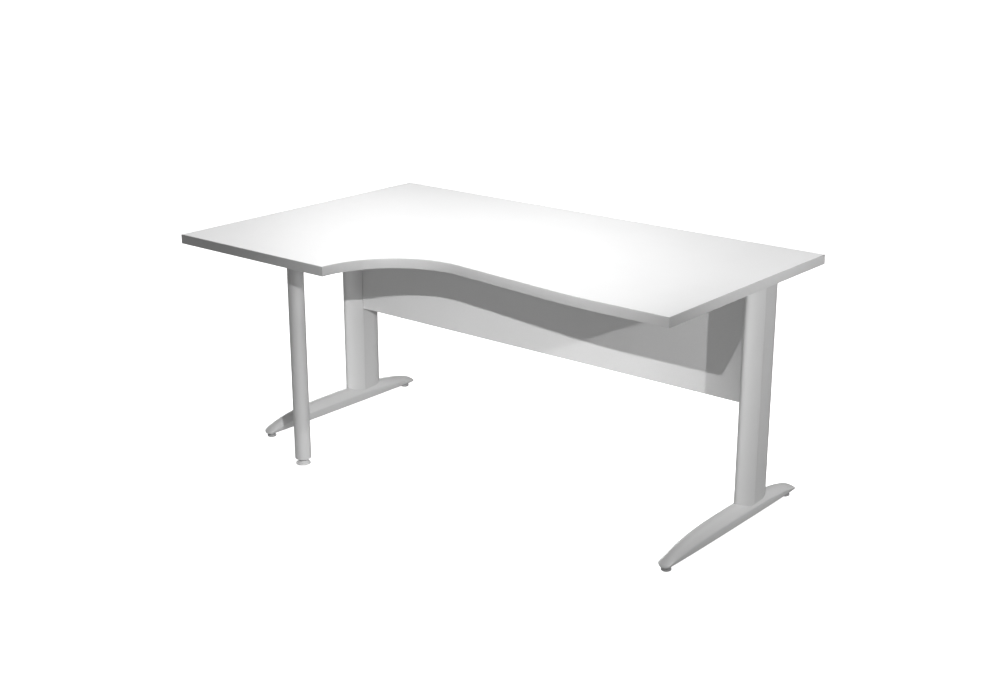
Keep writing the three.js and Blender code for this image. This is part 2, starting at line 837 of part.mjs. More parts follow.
function pillarStud() {
  return stud(pillarPadHeight + collarGap, plugUnderside - collarGap, plugUnderside + pillarStudRise);
}

// Assembly

const desk = new THREE.Group();

function add(parent, name, geometry, material, place = [0, 0, 0]) {
  const mesh = new THREE.Mesh(geometry, material);
  mesh.name = name;
  mesh.position.set(...place);
  parent.add(mesh);
}

function addTop() {
  add(desk, "desktop_board", desktopBoard(), whiteMelamine());
  for (const side of ["rear", "left", "deep_front", "wave", "right"]) {
    add(desk, `edge_band_${side}`, edgeBand(side), greyEdging());
  }
}

// A leg is made for the left end; the right one is its mirror image.
function addLeg(name, end) {
  const leg = new THREE.Group();
  leg.position.set(end * legX, columnY, 0);
  desk.add(leg);
  const sided = (geometry) => (end > 0 ? mirrorX(geometry) : geometry);
  add(leg, `${name}_column_tube`, sided(columnTube()), silverPaint());
  add(leg, `${name}_column_cover`, columnCover(), silverPaint());
  clipHeights().forEach((z, index) => {
    add(leg, `${name}_${["lower", "upper"][index]}_cover_clip`, coverClip(), darkPlastic(), [0, 0, z]);
  });
  add(leg, `${name}_base_plate`, basePlate(), zincSteel());
  add(leg, `${name}_top_plate`, topPlate(), silverPaint());
  add(leg, `${name}_foot`, foot(), silverPaint());
  const boltLength = seatTopZ + basePlateThickness + boltTail - seatRoofZ;
  boltPlaces().forEach(({ y }, index) => {
    const place = ["front", "rear"][index];
    add(leg, `${name}_${place}_foot_bolt`, footBolt(boltLength), zincSteel(), [0, y, seatRoofZ]);
  });
  glidePlaces().forEach(({ y }, index) => {
    const place = ["front", "rear"][index];
    add(leg, `${name}_${place}_foot_insert`, footInsert(), zincSteel(), [0, y, 0]);
    add(leg, `${name}_${place}_glide_pad`, footPad(), darkPlastic(), [0, y, 0]);
    add(leg, `${name}_${place}_glide_stud`, footStud(), zincSteel(), [0, y, 0]);
  });
  sideBracketHeights().forEach((z, index) => {
    const level = ["lower", "upper"][index];
    add(leg, `${name}_${level}_side_bracket`, sided(sideBracket(z)), zincSteel());
    const tappingScrew = onColumnFlank(screw(tappingScrewLength), z);
    add(leg, `${name}_${level}_side_bracket_screw`, sided(tappingScrew), zincSteel());
  });
}

function addPillar() {
  const pillar = new THREE.Group();
  pillar.position.set(pillarX, pillarY, 0);
  desk.add(pillar);
  add(pillar, "pillar_plate", pillarPlate(), silverPaint());
  add(pillar, "pillar_tube", pillarTube(), silverPaint());
  add(pillar, "pillar_plug", pillarPlug(), lightPlastic());
  add(pillar, "pillar_glide_pad", pillarPad(), lightPlastic());
  add(pillar, "pillar_glide_stud", pillarStud(), zincSteel());
  pillarScrewPlaces().forEach(([x, y], index) => {
    const name = `pillar_plate_screw_${index + 1}`;
    add(pillar, name, screw(boardScrewLength), zincSteel(), [x, y, pillarTopZ]);
  });
}

function addPanel() {
  add(desk, "modesty_panel", modestyPanel(), greyMelamine());
  add(desk, "panel_edge_band_left", panelEndBand(-1), greyEdging());
  add(desk, "panel_edge_band_right", panelEndBand(1), greyEdging());
  add(desk, "panel_edge_band_bottom", panelBottomBand(), greyEdging());
  topBracketCentres().forEach((centre, index) => {
    const place = ["left", "middle", "right"][index];
    add(desk, `top_bracket_${place}`, topBracket(centre), zincSteel());
  });
}

addTop();
addLeg("left", -1);
addLeg("right", 1);
addPillar();
addPanel();

export default desk;
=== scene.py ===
from math import acos, atan, atan2, cos, hypot, pi, radians, sin, sqrt

import bmesh
import bpy
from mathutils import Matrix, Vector


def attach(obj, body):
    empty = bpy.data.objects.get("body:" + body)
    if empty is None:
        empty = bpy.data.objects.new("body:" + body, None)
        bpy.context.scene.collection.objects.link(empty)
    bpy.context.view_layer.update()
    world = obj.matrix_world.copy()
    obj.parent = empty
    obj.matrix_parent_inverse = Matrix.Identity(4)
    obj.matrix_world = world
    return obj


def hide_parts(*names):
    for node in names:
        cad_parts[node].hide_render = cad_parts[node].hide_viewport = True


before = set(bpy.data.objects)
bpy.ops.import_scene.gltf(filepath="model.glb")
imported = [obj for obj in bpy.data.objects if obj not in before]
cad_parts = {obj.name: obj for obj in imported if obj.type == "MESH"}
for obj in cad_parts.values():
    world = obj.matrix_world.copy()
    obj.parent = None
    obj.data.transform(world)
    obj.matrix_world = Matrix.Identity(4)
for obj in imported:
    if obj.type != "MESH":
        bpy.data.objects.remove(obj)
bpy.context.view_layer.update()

# Camera
# A 53 mm lens stands three and a half metres off the desk's front right corner, a metre above its
# top, and looks down by eighteen degrees.
bpy.ops.object.camera_add(
    location=(2.6645, -3.21805, 1.755),
    rotation=(radians(72.1815), 0, radians(39.41)),
)
camera = bpy.context.object
camera.name = "camera"
camera.data.sensor_width = 36
camera.data.lens = 53.2
bpy.context.scene.camera = camera

# Desktop board
# A 28 mm chipboard faced on both sides with white melamine, sawn to the waved outline.
# Its outline is drawn and raised, and pilot holes are drilled up into its underside.
desk_right = 0.8
desk_rear = 0.5
deep_front = -0.5
shallow_front = -0.3
underside = 0.692
desk_top = 0.72
banding = 0.002
bay_x = 0.05
bay_radius = 0.25
swell_x = 0.588
wave_run = swell_x - bay_x
waist_setback = 0.05
swell_share = 0.6
wave_radii = swell_share * (wave_run**2 + waist_setback**2) / (2 * waist_setback)
swell_radius = wave_radii - bay_radius
wave_rise = wave_radii - waist_setback
wave_slope = atan2(wave_run, wave_rise) - acos(wave_radii / hypot(wave_run, wave_rise))
leg_x = 0.764
leg_y = 0.208
bar_screws = [(x, y) for y in (-0.27, -0.04, 0.19) for x in (-0.012, 0.012)]
pillar_x = -0.514
pillar_y = -0.312
head_screws = [(-0.041, -0.041), (0.041, -0.041), (0.041, 0.041), (-0.041, 0.041)]
panel_rear = 0.215
top_bracket_x = {"left": -0.44, "middle": 0.0, "right": 0.44}
bracket_screw_x = (-0.013, 0.013)
bracket_hole = 0.02
pilot_radius = 0.0026
board_pilot_depth = 0.0223


class Amount:
    """A number that varies over a surface. Sums and products of it add Math nodes to its finish."""

    def __init__(self, finish, socket):
        self.finish = finish
        self.socket = socket

    def worked(self, operation, first, second):
        return self.finish.node("ShaderNodeMath", {"operation": operation}, {0: first, 1: second})

    def __add__(self, other):
        return self.worked("ADD", self, other)

    def __radd__(self, other):
        return self.worked("ADD", other, self)

    def __rmul__(self, other):
        return self.worked("MULTIPLY", other, self)


class Finish:
    """A material made of nodes around one shader, on the piece's own coordinates."""

    def __init__(self, name, metallic=0.0, roughness=0.5):
        self.material = bpy.data.materials.new(name)
        self.material.use_nodes = True
        self.tree = self.material.node_tree
        self.shader = self.tree.nodes["Principled BSDF"]
        self.shader.inputs["Metallic"].default_value = metallic
        self.shader.inputs["Roughness"].default_value = roughness
        self.place = self.node("ShaderNodeTexCoord", {}, {}, "Object")

    def node(self, kind, settings, values, output=0):
        made = self.tree.nodes.new(kind)
        for setting, value in settings.items():
            setattr(made, setting, value)
        for socket, value in values.items():
            if isinstance(value, Amount):
                self.tree.links.new(value.socket, made.inputs[socket])
            else:
                made.inputs[socket].default_value = value
        return Amount(self, made.outputs[output])

    def noise(self, scale, detail, stretch=(1, 1, 1)):
        place = self.node("ShaderNodeMapping", {}, {"Vector": self.place, "Scale": stretch})
        values = {"Vector": place, "Scale": scale, "Detail": detail}
        return self.node("ShaderNodeTexNoise", {}, values)

    def cells(self, scale):
        values = {"Vector": self.place, "Scale": scale}
        return self.node("ShaderNodeTexVoronoi", {}, values, "Distance")

    def spread(self, amount, low, high):
        return self.node("ShaderNodeMapRange", {}, {0: amount, 1: low, 2: high})

    def between(self, dark, light, share):
        values = {0: share, 6: (*dark, 1), 7: (*light, 1)}
        return self.node("ShaderNodeMix", {"data_type": "RGBA"}, values, 2)

    def feed(self, socket, amount):
        self.tree.links.new(amount.socket, self.shader.inputs[socket])

    def relief(self, height, distance, strength):
        values = {"Height": height, "Distance": distance, "Strength": strength}
        self.feed("Normal", self.node("ShaderNodeBump", {}, values))


def melamine(name, dark, light):
    """Melamine facing: a fine pearl grain, a faint cloudiness and slightly uneven gloss."""
    facing = Finish(name)
    grain = facing.noise(1400, 3)
    cloud = facing.noise(9, 3)
    fleck = facing.spread(facing.noise(420, 1), 0.35, 0.65)
    facing.feed("Base Color", facing.between(dark, light, 0.6 * cloud + 0.4 * fleck))
    facing.feed("Roughness", 0.42 + 0.1 * cloud + 0.08 * grain)
    facing.relief(grain + 0.3 * fleck, 0.00006, 0.6)
    return facing.material


white_melamine = melamine("white_melamine", (0.85, 0.85, 0.85), (0.89, 0.89, 0.89))


def wave_line(inset, bay_steps=44, swell_steps=20):
    """Points along the waved edge, from the deep end's corner to the shallow end's corner."""
    points = []
    inner_bay = bay_radius + inset
    first = pi - atan2(inset, sqrt(inner_bay**2 - inset**2))
    last = pi / 2 - wave_slope
    for step in range(bay_steps + 1):
        angle = first + (last - first) * step / bay_steps
        points.append((bay_x + inner_bay * cos(angle), deep_front + inner_bay * sin(angle)))
    inner_swell = swell_radius - inset
    for step in range(swell_steps + 1):
        angle = -wave_slope * (1 - step / swell_steps)
        y = shallow_front + swell_radius - inner_swell * cos(angle)
        points.append((swell_x + inner_swell * sin(angle), y))
    points.append((desk_right - inset, shallow_front + inset))
    return points


def deselect():
    bpy.ops.object.select_all(action="DESELECT")


def take(*pieces):
    """Selects these pieces alone, the first of them active."""
    deselect()
    for piece in pieces:
        piece.select_set(True)
    bpy.context.view_layer.objects.active = pieces[0]


def settle(piece):
    """Puts the piece's place, turn and size into its mesh."""
    take(piece)
    bpy.ops.object.transform_apply(location=True, rotation=True, scale=True)
    return piece


def edit(piece):
    """Opens a piece in edit mode with all of it selected."""
    take(piece)
    bpy.ops.object.mode_set(mode="EDIT")
    bpy.ops.mesh.select_all(action="SELECT")


def leave():
    bpy.ops.object.mode_set(mode="OBJECT")


def draw(points, closed=True):
    """Draws an outline by pulling one vertex along, and fills it if it is closed."""
    deselect()
    bpy.ops.mesh.primitive_plane_add(size=0.01, location=points[0])
    outline = bpy.context.object
    bpy.ops.object.mode_set(mode="EDIT")
    bpy.ops.mesh.select_mode(type="VERT")
    bpy.ops.mesh.merge(type="CENTER")
    for before, after in zip(points, points[1:]):
        step = Vector(after) - Vector(before)
        bpy.ops.mesh.extrude_vertices_move(TRANSFORM_OT_translate={"value": step})
    if closed:
        bpy.ops.mesh.select_all(action="SELECT")
        bpy.ops.mesh.edge_face_add()
    leave()
    return settle(outline)


def thicken(piece, way):
    """Pulls a flat outline into a solid, and turns its faces outwards."""
    edit(piece)
    bpy.ops.mesh.select_mode(type="FACE")
    bpy.ops.mesh.extrude_region_move(TRANSFORM_OT_translate={"value": way})
    bpy.ops.mesh.select_all(action="SELECT")
    bpy.ops.mesh.normals_make_consistent(inside=False)
    leave()
    return piece


def together(*pieces):
    """Joins pieces into the first of them."""
    take(*pieces)
    bpy.ops.object.join()
    return pieces[0]


def drills(places, radius, reach, turn=(0, 0, 0)):
    """Round drills as one cutter. Each is centred on its place and reaches both ways from it."""
    made = []
    for place in places:
        deselect()
        bpy.ops.mesh.primitive_cylinder_add(
            vertices=24, radius=radius, depth=2 * reach, location=place, rotation=turn
        )
        made.append(bpy.context.object)
    return settle(together(*made))


def combine(piece, operation, *others):
    """Cuts the others away from a piece or adds them to it, and uses them up."""
    for other in others:
        work = piece.modifiers.new("work", "BOOLEAN")
        work.operation = operation
        work.solver = "EXACT"
        work.object = other
        take(piece)
        bpy.ops.object.modifier_apply(modifier=work.name)
        bpy.data.objects.remove(other)
    return piece


def fit(piece, name, body, slot, finish, *nodes, smooth=30):
    """Names a finished piece, gives it its finish, and fixes it to the body that carries it."""
    settle(piece)
    piece.name = name
    piece.data.name = name
    bpy.ops.object.shade_smooth_by_angle(angle=radians(smooth))
    piece.data.materials.clear()
    piece.data.materials.append(finish)
    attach(piece, body)
    if nodes:
        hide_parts(*nodes)


board_holes = [(end * leg_x + x, leg_y + y) for end in (-1, 1) for x, y in bar_screws]
board_holes += [(pillar_x + x, pillar_y + y) for x, y in head_screws]
for centre in top_bracket_x.values():
    board_holes += [(centre + x, panel_rear + bracket_hole) for x in bracket_screw_x]

left_in = -desk_right + banding
board_line = [(left_in, desk_rear - banding), (left_in, deep_front + banding)]
board_line += wave_line(banding) + [(desk_right - banding, desk_rear - banding)]
board = draw([(x, y, underside) for x, y in board_line])
thicken(board, (0, 0, desk_top - underside))
board_holes = [(x, y, underside) for x, y in board_holes]
pilots = drills(board_holes, pilot_radius, board_pilot_depth)
combine(board, "DIFFERENCE", pilots)
fit(board, "desktop", "frame", "white_melamine", white_melamine, "desktop_board", smooth=20)

# Edge bands
# Five strips of 2 mm grey plastic, glued round the board's edge and flush with both faces.
# Each is bridged between two lines, and its outer arrises are rounded as a trimmer leaves them.


def moulded(name, dark, light, rough, grain_scale, depth):
    """Coloured plastic with a fine moulded or embossed skin."""
    skin = Finish(name)
    grain = skin.noise(grain_scale, 2)
    pits = skin.cells(grain_scale * 0.7)
    cloud = skin.noise(30, 2)
    skin.feed("Base Color", skin.between(dark, light, 0.7 * cloud + 0.3 * grain))
    skin.feed("Roughness", rough + 0.08 * cloud + 0.05 * pits)
    skin.relief(0.6 * grain + 0.4 * pits, depth, 0.7)
    return skin.material


arris_radius = 0.0009
grey_edging = moulded("grey_edging", (0.5, 0.5, 0.5), (0.56, 0.56, 0.56), 0.42, 900, 0.00005)


def pick(kind, test):
    """Selects the faces or edges of the mesh in hand whose middle and direction pass the test."""
    mesh = bmesh.from_edit_mesh(bpy.context.object.data)
    bpy.ops.mesh.select_mode(type="FACE" if kind == "faces" else "EDGE")
    bpy.ops.mesh.select_all(action="DESELECT")
    for part in getattr(mesh, kind):
        if kind == "faces":
            middle, way = part.calc_center_median(), part.normal
        else:
            first, last = part.verts
            middle, way = (first.co + last.co) / 2, (last.co - first.co).normalized()
        if test(middle, way):
            part.select = True
    mesh.select_flush_mode()
    bmesh.update_edit_mesh(bpy.context.object.data)


def round_off(piece, radius, test, segments=2):
    """Rounds off the edges that pass the test."""
    edit(piece)
    pick("edges", test)
    bpy.ops.mesh.bevel(offset=radius, segments=segments, affect="EDGES", clamp_overlap=True)
    leave()
    return piece


def side_lines(inset):
    """The five lines round the board that the strips follow, at this distance from its edge."""
    rear_left = (-desk_right + inset, desk_rear - inset)
    front_left = (-desk_right + inset, deep_front + inset)
    wave = wave_line(inset)
    rear_right = (desk_right - inset, desk_rear - inset)
    return {
        "rear": [rear_right, rear_left],
        "left": [rear_left, front_left],
        "deep_front": [front_left, wave[0]],
        "wave": wave,
        "right": [wave[-1], rear_right],
    }


for side, outer in side_lines(0).items():
    inner = side_lines(banding)[side]
    band = together(
        draw([(x, y, underside) for x, y in outer], closed=False),
        draw([(x, y, underside) for x, y in inner], closed=False),
    )
    edit(band)
    bpy.ops.mesh.select_mode(type="EDGE")
    bpy.ops.mesh.bridge_edge_loops()
    leave()
    thicken(band, (0, 0, desk_top - underside))
    middles = [(Vector(a) + Vector(b)) / 2 for a, b in zip(outer, outer[1:])]

    def outer_arris(middle, way):
        return abs(way.z) < 0.5 and min((middle.xy - m).length for m in middles) < 0.0004

    round_off(band, arris_radius, outer_arris)
    fit(band, f"{side}_edging", "frame", "grey_edging", grey_edging, f"edge_band_{side}", smooth=40)

# Feet
# One aluminium casting under each column, coated silver: an arched bar that sinks to its two tips.
# Its section is drawn and pulled out to both tips. It is hollowed and gets a seat for the column.


def silver_coat(name, dark, light):
    """Satin silver powder coat: fine metal flakes and a faint orange peel."""
    coat = Finish(name, metallic=0.15)
    flake = coat.cells(2600)
    peel = coat.noise(260, 2)
    cloud = coat.noise(14, 2)
    coat.feed("Base Color", coat.between(dark, light, 0.8 * flake + 0.2 * cloud))
    coat.feed("Roughness", 0.4 + 0.08 * cloud + 0.06 * flake)
    coat.relief(peel + 0.2 * flake, 0.00008, 0.5)
    return coat.material


silver_paint = silver_coat("silver_paint", (0.526, 0.526, 0.526), (0.598, 0.598, 0.598))

foot_front = -0.443
foot_rear = 0.246
crown_y = -0.108
crown_height = 0.069
front_tip = 0.024
rear_tip = 0.019
foot_under = 0.012
foot_wall = 0.0035
mid_half_width = 0.027
tip_half_width = 0.021
curve_power = 2.8
curve_root = 0.75
nose_length = 0.018
nose_fullness = 2.6
tip_fall_length = 0.024
tip_fall_fullness = 2
tip_fall_share = 0.5
arch_power = 2.4
hollow_arch_power = 3.2
shoulder_share = 0.54
underside_share = 0.7
shoulder_radius = 0.0035
glide_y = {"front": -0.424, "rear": 0.21}
seat_front = -0.011
seat_rear = 0.076
seat_roof = 0.047
seat_top = 0.075
seat_y = 0.0325
seat_margin = 0.005
column_half_width = 0.023
seam_y = -0.011
flank_end = 0.034
flank_lean = 0.002
front_nose = 0.065
rear_nose = 0.042


def foot_share(y):
    """How high the foot's curve stands here, from 1 at its crown to 0 at its tips."""
    reach = foot_front if y < crown_y else foot_rear
    part = min(abs((y - crown_y) / (reach - crown_y)), 1)
    return (1 - part**curve_power) ** curve_root


def tip_share(y, length, fullness):
    """How full the foot still is where its tips round off."""
    from_tip = min(y - foot_front, foot_rear - y, length)
    return (1 - (1 - from_tip / length) ** fullness) ** (1 / fullness)


def foot_top(y):
    tip = front_tip if y < crown_y else rear_tip
    full = tip + (crown_height - tip) * foot_share(y)
    fall = tip_fall_share * tip_share(y, tip_fall_length, tip_fall_fullness)
    return foot_under + (full - foot_under) * (1 - tip_fall_share + fall)


def foot_half(y):
    half = tip_half_width + (mid_half_width - tip_half_width) * foot_share(y)
    return tip_share(y, nose_length, nose_fullness) * half


def long_bar(stations, half, low, top, arch=arch_power):
    """A bar along Y with an arched top and sides that lean in. Two rules give its width and top."""
    middle = min(range(len(stations) - 1), key=lambda i: abs(stations[i] - crown_y))
    start, after = stations[middle], stations[middle + 1]
    wide, high = half(start), top(start) - low
    shoulder = low + shoulder_share * high
    side = [(underside_share * wide, low)]
    for step in range(14, -1, -1):
        fall = (1 - shoulder_share) * high * (step / 14) ** arch
        side.append((wide * step / 14, top(start) - fall))
    outline = side + [(-x, z) for x, z in side[-2::-1]]
    bar = thicken(draw([(x, start, z) for x, z in outline]), (0, after - start, 0))

    def at_shoulder(middle, way):
        return abs(way.y) > 0.9 and abs(middle.z - shoulder) < 1e-5

    round_off(bar, shoulder_radius, at_shoulder, 4)
    round_off(bar, 0.001, lambda middle, way: abs(way.y) > 0.9 and middle.z < low + 1e-5)
    edit(bar)
    for line in (stations[middle + 1 :], stations[middle::-1]):
        now = line[0]
        pick("faces", lambda m, way: abs(m.y - now) < 1e-5 and abs(way.y) > 0.9)
        wide, high = half(start), top(start) - low
        for y in line:
            if y != now:
                step = {"value": (0, y - now, 0)}
                bpy.ops.mesh.extrude_region_move(TRANSFORM_OT_translate=step)
            size = (half(y) / wide, 1, (top(y) - low) / high)
            bpy.ops.transform.resize(value=size, center_override=(0, y, low))
            now, wide, high = y, half(y), top(y) - low
    bpy.ops.mesh.select_all(action="SELECT")
    bpy.ops.mesh.remove_doubles(threshold=1e-6)
    bpy.ops.mesh.normals_make_consistent(inside=False)
    leave()
    return bar


from_tips = [0.0001, 0.0004, 0.001, 0.0022, 0.004, 0.0065, 0.0095, 0.013, 0.017, 0.023, 0.03]
run_start = foot_front + from_tips[-1]
run_length = foot_rear - foot_front - 2 * from_tips[-1]
foot_run = [run_start + run_length * step / 46 for step in range(1, 46)]
foot_stations = [foot_front + d for d in from_tips] + foot_run
foot_stations += [foot_rear - d for d in reversed(from_tips)]
foot = long_bar(foot_stations, foot_half, foot_under, foot_top)


def hollow_roof(y):
    """The roof follows the foot's top, and drops to a level stretch under the seat."""
    return seat_roof if seat_front - 1e-6 < y < seat_rear + 1e-6 else foot_top(y) - foot_wall


seat_steps = [seat_front - foot_wall, seat_front, seat_rear, seat_rear + foot_wall]
hollow_front = -0.41
hollow_rear = 0.196
spacing = 0.003
hollow_run = [y for y in foot_run if hollow_front + spacing < y < hollow_rear - spacing]
hollow_run = [y for y in hollow_run if not seat_steps[0] <= y <= seat_steps[3]]
hollow = long_bar(
    sorted([hollow_front, hollow_rear] + hollow_run + seat_steps),
    lambda y: foot_half(y) - foot_wall,
    foot_under - 0.001,
    hollow_roof,
    hollow_arch_power,
)
combine(foot, "DIFFERENCE", hollow)


def flank_x(y, inset=0.0):
    """Where the column's flank lies: on half an ellipse, and nearly straight behind the seam."""
    half = column_half_width - inset
    if y < seam_y:
        return half * sqrt(1 - ((seam_y - y) / (front_nose - inset)) ** 2)
    return half - flank_lean * (y - seam_y) / (flank_end - seam_y)


def oval_half(side, inset=0.0, back=0.0):
    """Half of the column's section, from its widest line round one rounded end and back."""
    if side > 0:
        half, centre, length = column_half_width - flank_lean, flank_end, rear_nose
    else:
        half, centre, length = column_half_width, seam_y, front_nose
    start = seam_y + side * back
    line = [(flank_x(start, inset), start)]
    for step in range(0 if side > 0 else 1, 29):
        angle = pi / 2 * step / 28
        y = centre + side * (length - inset) * sin(angle)
        line.append(((half - inset) * cos(angle), y))
    return line + [(-x, y) for x, y in reversed(line) if x > 1e-6]


overlap = 0.0001
seat_line = oval_half(1, seat_margin, seat_margin)
seat = draw([(x, y, seat_roof + overlap) for x, y in seat_line])
thicken(seat, (0, 0, seat_top - seat_roof - overlap))
combine(foot, "UNION", seat)
bolt_places = [(0, seat_y - 0.018), (0, seat_y + 0.018)]
bolt_radius = 0.0044
bolt_head_radius = 0.0069
insert_radius = 0.0063
stud_pocket_radius = 0.0048
glide_places = [(0, y) for y in glide_y.values()]
combine(
    foot,
    "DIFFERENCE",
    drills([(x, y, seat_top) for x, y in bolt_places], bolt_radius, 0.04),
    drills([(x, y, 0) for x, y in bolt_places], bolt_head_radius, seat_roof),
    drills([(x, y, foot_under) for x, y in glide_places], insert_radius, 0.0133),
    drills([(x, y, foot_under) for x, y in glide_places], stud_pocket_radius, 0.0156),
)


def set_down(piece, x, y, z=0.0, turn=(0, 0, 0)):
    """A copy of a piece with its own mesh, turned and moved to its place on the desk."""
    take(piece)
    bpy.ops.object.duplicate()
    copy = bpy.context.object
    copy.rotation_euler = turn
    copy.location = (x, y, z)
    return settle(copy)


ends = {"left": -1, "right": 1}
for end, side in ends.items():
    casting = set_down(foot, side * leg_x, leg_y)
    name = f"{end}_foot_casting"
    fit(casting, name, "frame", "silver_paint", silver_paint, f"{end}_foot", smooth=40)
bpy.data.objects.remove(foot)

# Columns
# An oval steel column in two parts: a D-shaped tube behind and a cover clipped on in front. The
# tube's coat is a shade darker, as painted shade for its rear flank. Half of the section is drawn,
# raised, given its wall and sawn to the foot.
bracket_heights = {"lower": 0.412, "upper": 0.622}
bracket_plate = 0.0025
column_screw_y = 0.019
flank_turn = atan(flank_lean / (flank_end - seam_y))
column_top = 0.687
column_low = 0.041
seam_gap = 0.0005
tube_wall = 0.002
cover_wall = 0.0015
saddle_gap = 0.0003
screw_hole_radius = 0.0028
# The tube's coat is a shade darker than the cover's: painted shade for the shade on the column's
# rear flank.
tube_paint_painted_shade = silver_coat("tube_paint_painted_shade", (0.483, 0.483, 0.483), (0.548, 0.548, 0.548))


def walled(outline, thickness, height):
    """Raises a drawn line to a sheet, and gives the sheet its wall towards the column's inside."""
    edit(outline)
    bpy.ops.mesh.select_mode(type="EDGE")
    lift = {"value": (0, 0, height)}
    bpy.ops.mesh.extrude_region_move(TRANSFORM_OT_translate=lift)
    bpy.ops.mesh.select_all(action="SELECT")
    bpy.ops.mesh.remove_doubles(threshold=1e-6)
    mesh = bmesh.from_edit_mesh(outline.data)
    if sum(face.normal.x * face.calc_center_median().x for face in mesh.faces) < 0:
        bpy.ops.mesh.flip_normals()
    leave()
    work = outline.modifiers.new("wall", "SOLIDIFY")
    work.thickness = thickness
    work.offset = -1
    work.use_even_offset = True
    take(outline)
    bpy.ops.object.modifier_apply(modifier=work.name)
    return outline


rear_line = oval_half(1)
tube = walled(
    draw([(x, y, column_low) for x, y in rear_line + rear_line[:1]], closed=False),
    tube_wall,
    column_top - column_low,
)
cover = walled(
    draw([(x, y, column_low) for x, y in oval_half(-1, 0, seam_gap)], closed=False),
    cover_wall,
    column_top - seam_gap - column_low,
)
for part in (tube, cover):
    saddle = long_bar(
        foot_stations,
        lambda y: foot_half(y) + saddle_gap,
        foot_under - saddle_gap,
        lambda y: foot_top(y) + saddle_gap,
    )
    combine(part, "DIFFERENCE", saddle)
for end, side in ends.items():
    own = set_down(tube, side * leg_x, leg_y)
    holes = [
        (side * (leg_x - flank_x(column_screw_y)), leg_y + column_screw_y, z)
        for z in bracket_heights.values()
    ]
    turn = (0, pi / 2, -side * flank_turn)
    combine(own, "DIFFERENCE", drills(holes, pilot_radius, 0.006, turn))
    name = f"{end}_column_tube"
    fit(own, f"{end}_tube", "frame", "silver_paint", tube_paint_painted_shade, name, smooth=40)
    own = set_down(cover, side * leg_x, leg_y)
    name = f"{end}_column_cover"
    fit(own, f"{end}_cover", "frame", "silver_paint", silver_paint, name, smooth=40)
bpy.data.objects.remove(tube)
bpy.data.objects.remove(cover)

# Top bars
# A flat steel bar, coated silver, lies on each column's top and is screwed up into the board with
# six screws.
bar_half_width = 0.022
bar_front = -0.29
bar_rear = 0.21
bar_corner = 0.006


def plate(half_x, low_y, high_y, low, high, corner):
    """A flat plate with rounded corners and eased lower arrises."""
    corners = [(-half_x, low_y), (half_x, low_y), (half_x, high_y), (-half_x, high_y)]
    piece = thicken(draw([(x, y, low) for x, y in corners]), (0, 0, high - low))
    round_off(piece, corner, lambda middle, way: abs(way.z) > 0.9, 6)

    def lower_arris(middle, way):
        return abs(way.z) < 0.1 and middle.z < low + 1e-5

    return round_off(piece, 0.0005, lower_arris)


bar = plate(bar_half_width, bar_front, bar_rear, column_top, underside, bar_corner)
holes = drills([(x, y, column_top) for x, y in bar_screws], screw_hole_radius, 0.006)
combine(bar, "DIFFERENCE", holes)
for end, side in ends.items():
    own = set_down(bar, side * leg_x, leg_y)
    fit(own, f"{end}_top_bar", "frame", "silver_paint", silver_paint, f"{end}_top_plate")
bpy.data.objects.remove(bar)

# Foot glides
# A dark plastic pad turns on a zinc-plated M8 stud, which has a hexagon to level the desk by. Both
# are turned from a profile.


def turned(profile, steps=48):
    """Turns a profile of radius and height about the upright axis."""
    piece = draw([(radius, 0, height) for radius, height in profile], closed=False)
    edit(piece)
    bpy.ops.mesh.spin(steps=steps, angle=2 * pi, center=(0, 0, 0), axis=(0, 0, 1))
    bpy.ops.mesh.select_all(action="SELECT")
    bpy.ops.mesh.remove_doubles(threshold=1e-6)
    bpy.ops.mesh.normals_make_consistent(inside=False)
    leave()
    return settle(piece)


def zinc(name):
    """Bright zinc plating: a cool metal with faint clouds and fine scratches."""
    plating = Finish(name, metallic=1.0)
    cloud = plating.noise(60, 3)
    scratch = plating.noise(500, 2, (1, 1, 0.08))
    plating.feed("Base Color", plating.between((0.51, 0.515, 0.52), (0.68, 0.68, 0.675), cloud))
    plating.feed("Roughness", 0.24 + 0.12 * cloud + 0.1 * scratch)
    plating.relief(scratch, 0.00003, 0.5)
    return plating.material


thread_pitch = 0.00125
thread_crest = 0.0039
thread_root = 0.0033
hexagon_radius = 0.0075
zinc_steel = zinc("zinc_steel")
dark_plastic = moulded("dark_plastic", (0.24, 0.24, 0.24), (0.3, 0.3, 0.3), 0.5, 1600, 0.00006)

pad = turned([
    (0, 0), (0.0135, 0), (0.0145, 0.001), (0.0145, 0.003), (0.0141, 0.0042), (0.0127, 0.0072),
    (0.0115, 0.008), (0.0048, 0.008), (0.0042, 0.0074), (0.0042, 0.003), (0, 0.003),
])


def threaded_stud(top, collar_low, collar_high):
    """A stud with thread rings at M8 pitch, and a hexagon with eased corners near its foot."""
    profile = [
        (0, 0.0033), (0.0034, 0.0033), (thread_crest, 0.0038), (thread_crest, collar_high),
    ]
    height = collar_high
    while height < top - thread_pitch:
        ring = [(thread_crest, 0.0002), (thread_root, 0.0007), (thread_crest, 0.00115)]
        profile += [(radius, height + rise) for radius, rise in ring]
        height += thread_pitch
    profile += [(thread_crest, top - 0.0006), (0.0034, top), (0, top)]
    shank = turned(profile, 32)
    deselect()
    bpy.ops.mesh.primitive_cylinder_add(
        vertices=6,
        radius=hexagon_radius,
        depth=collar_high - collar_low,
        location=(0, 0, (collar_low + collar_high) / 2),
    )
    hexagon = settle(bpy.context.object)
    round_off(hexagon, 0.0003, lambda middle, way: True)
    return combine(shank, "UNION", hexagon)


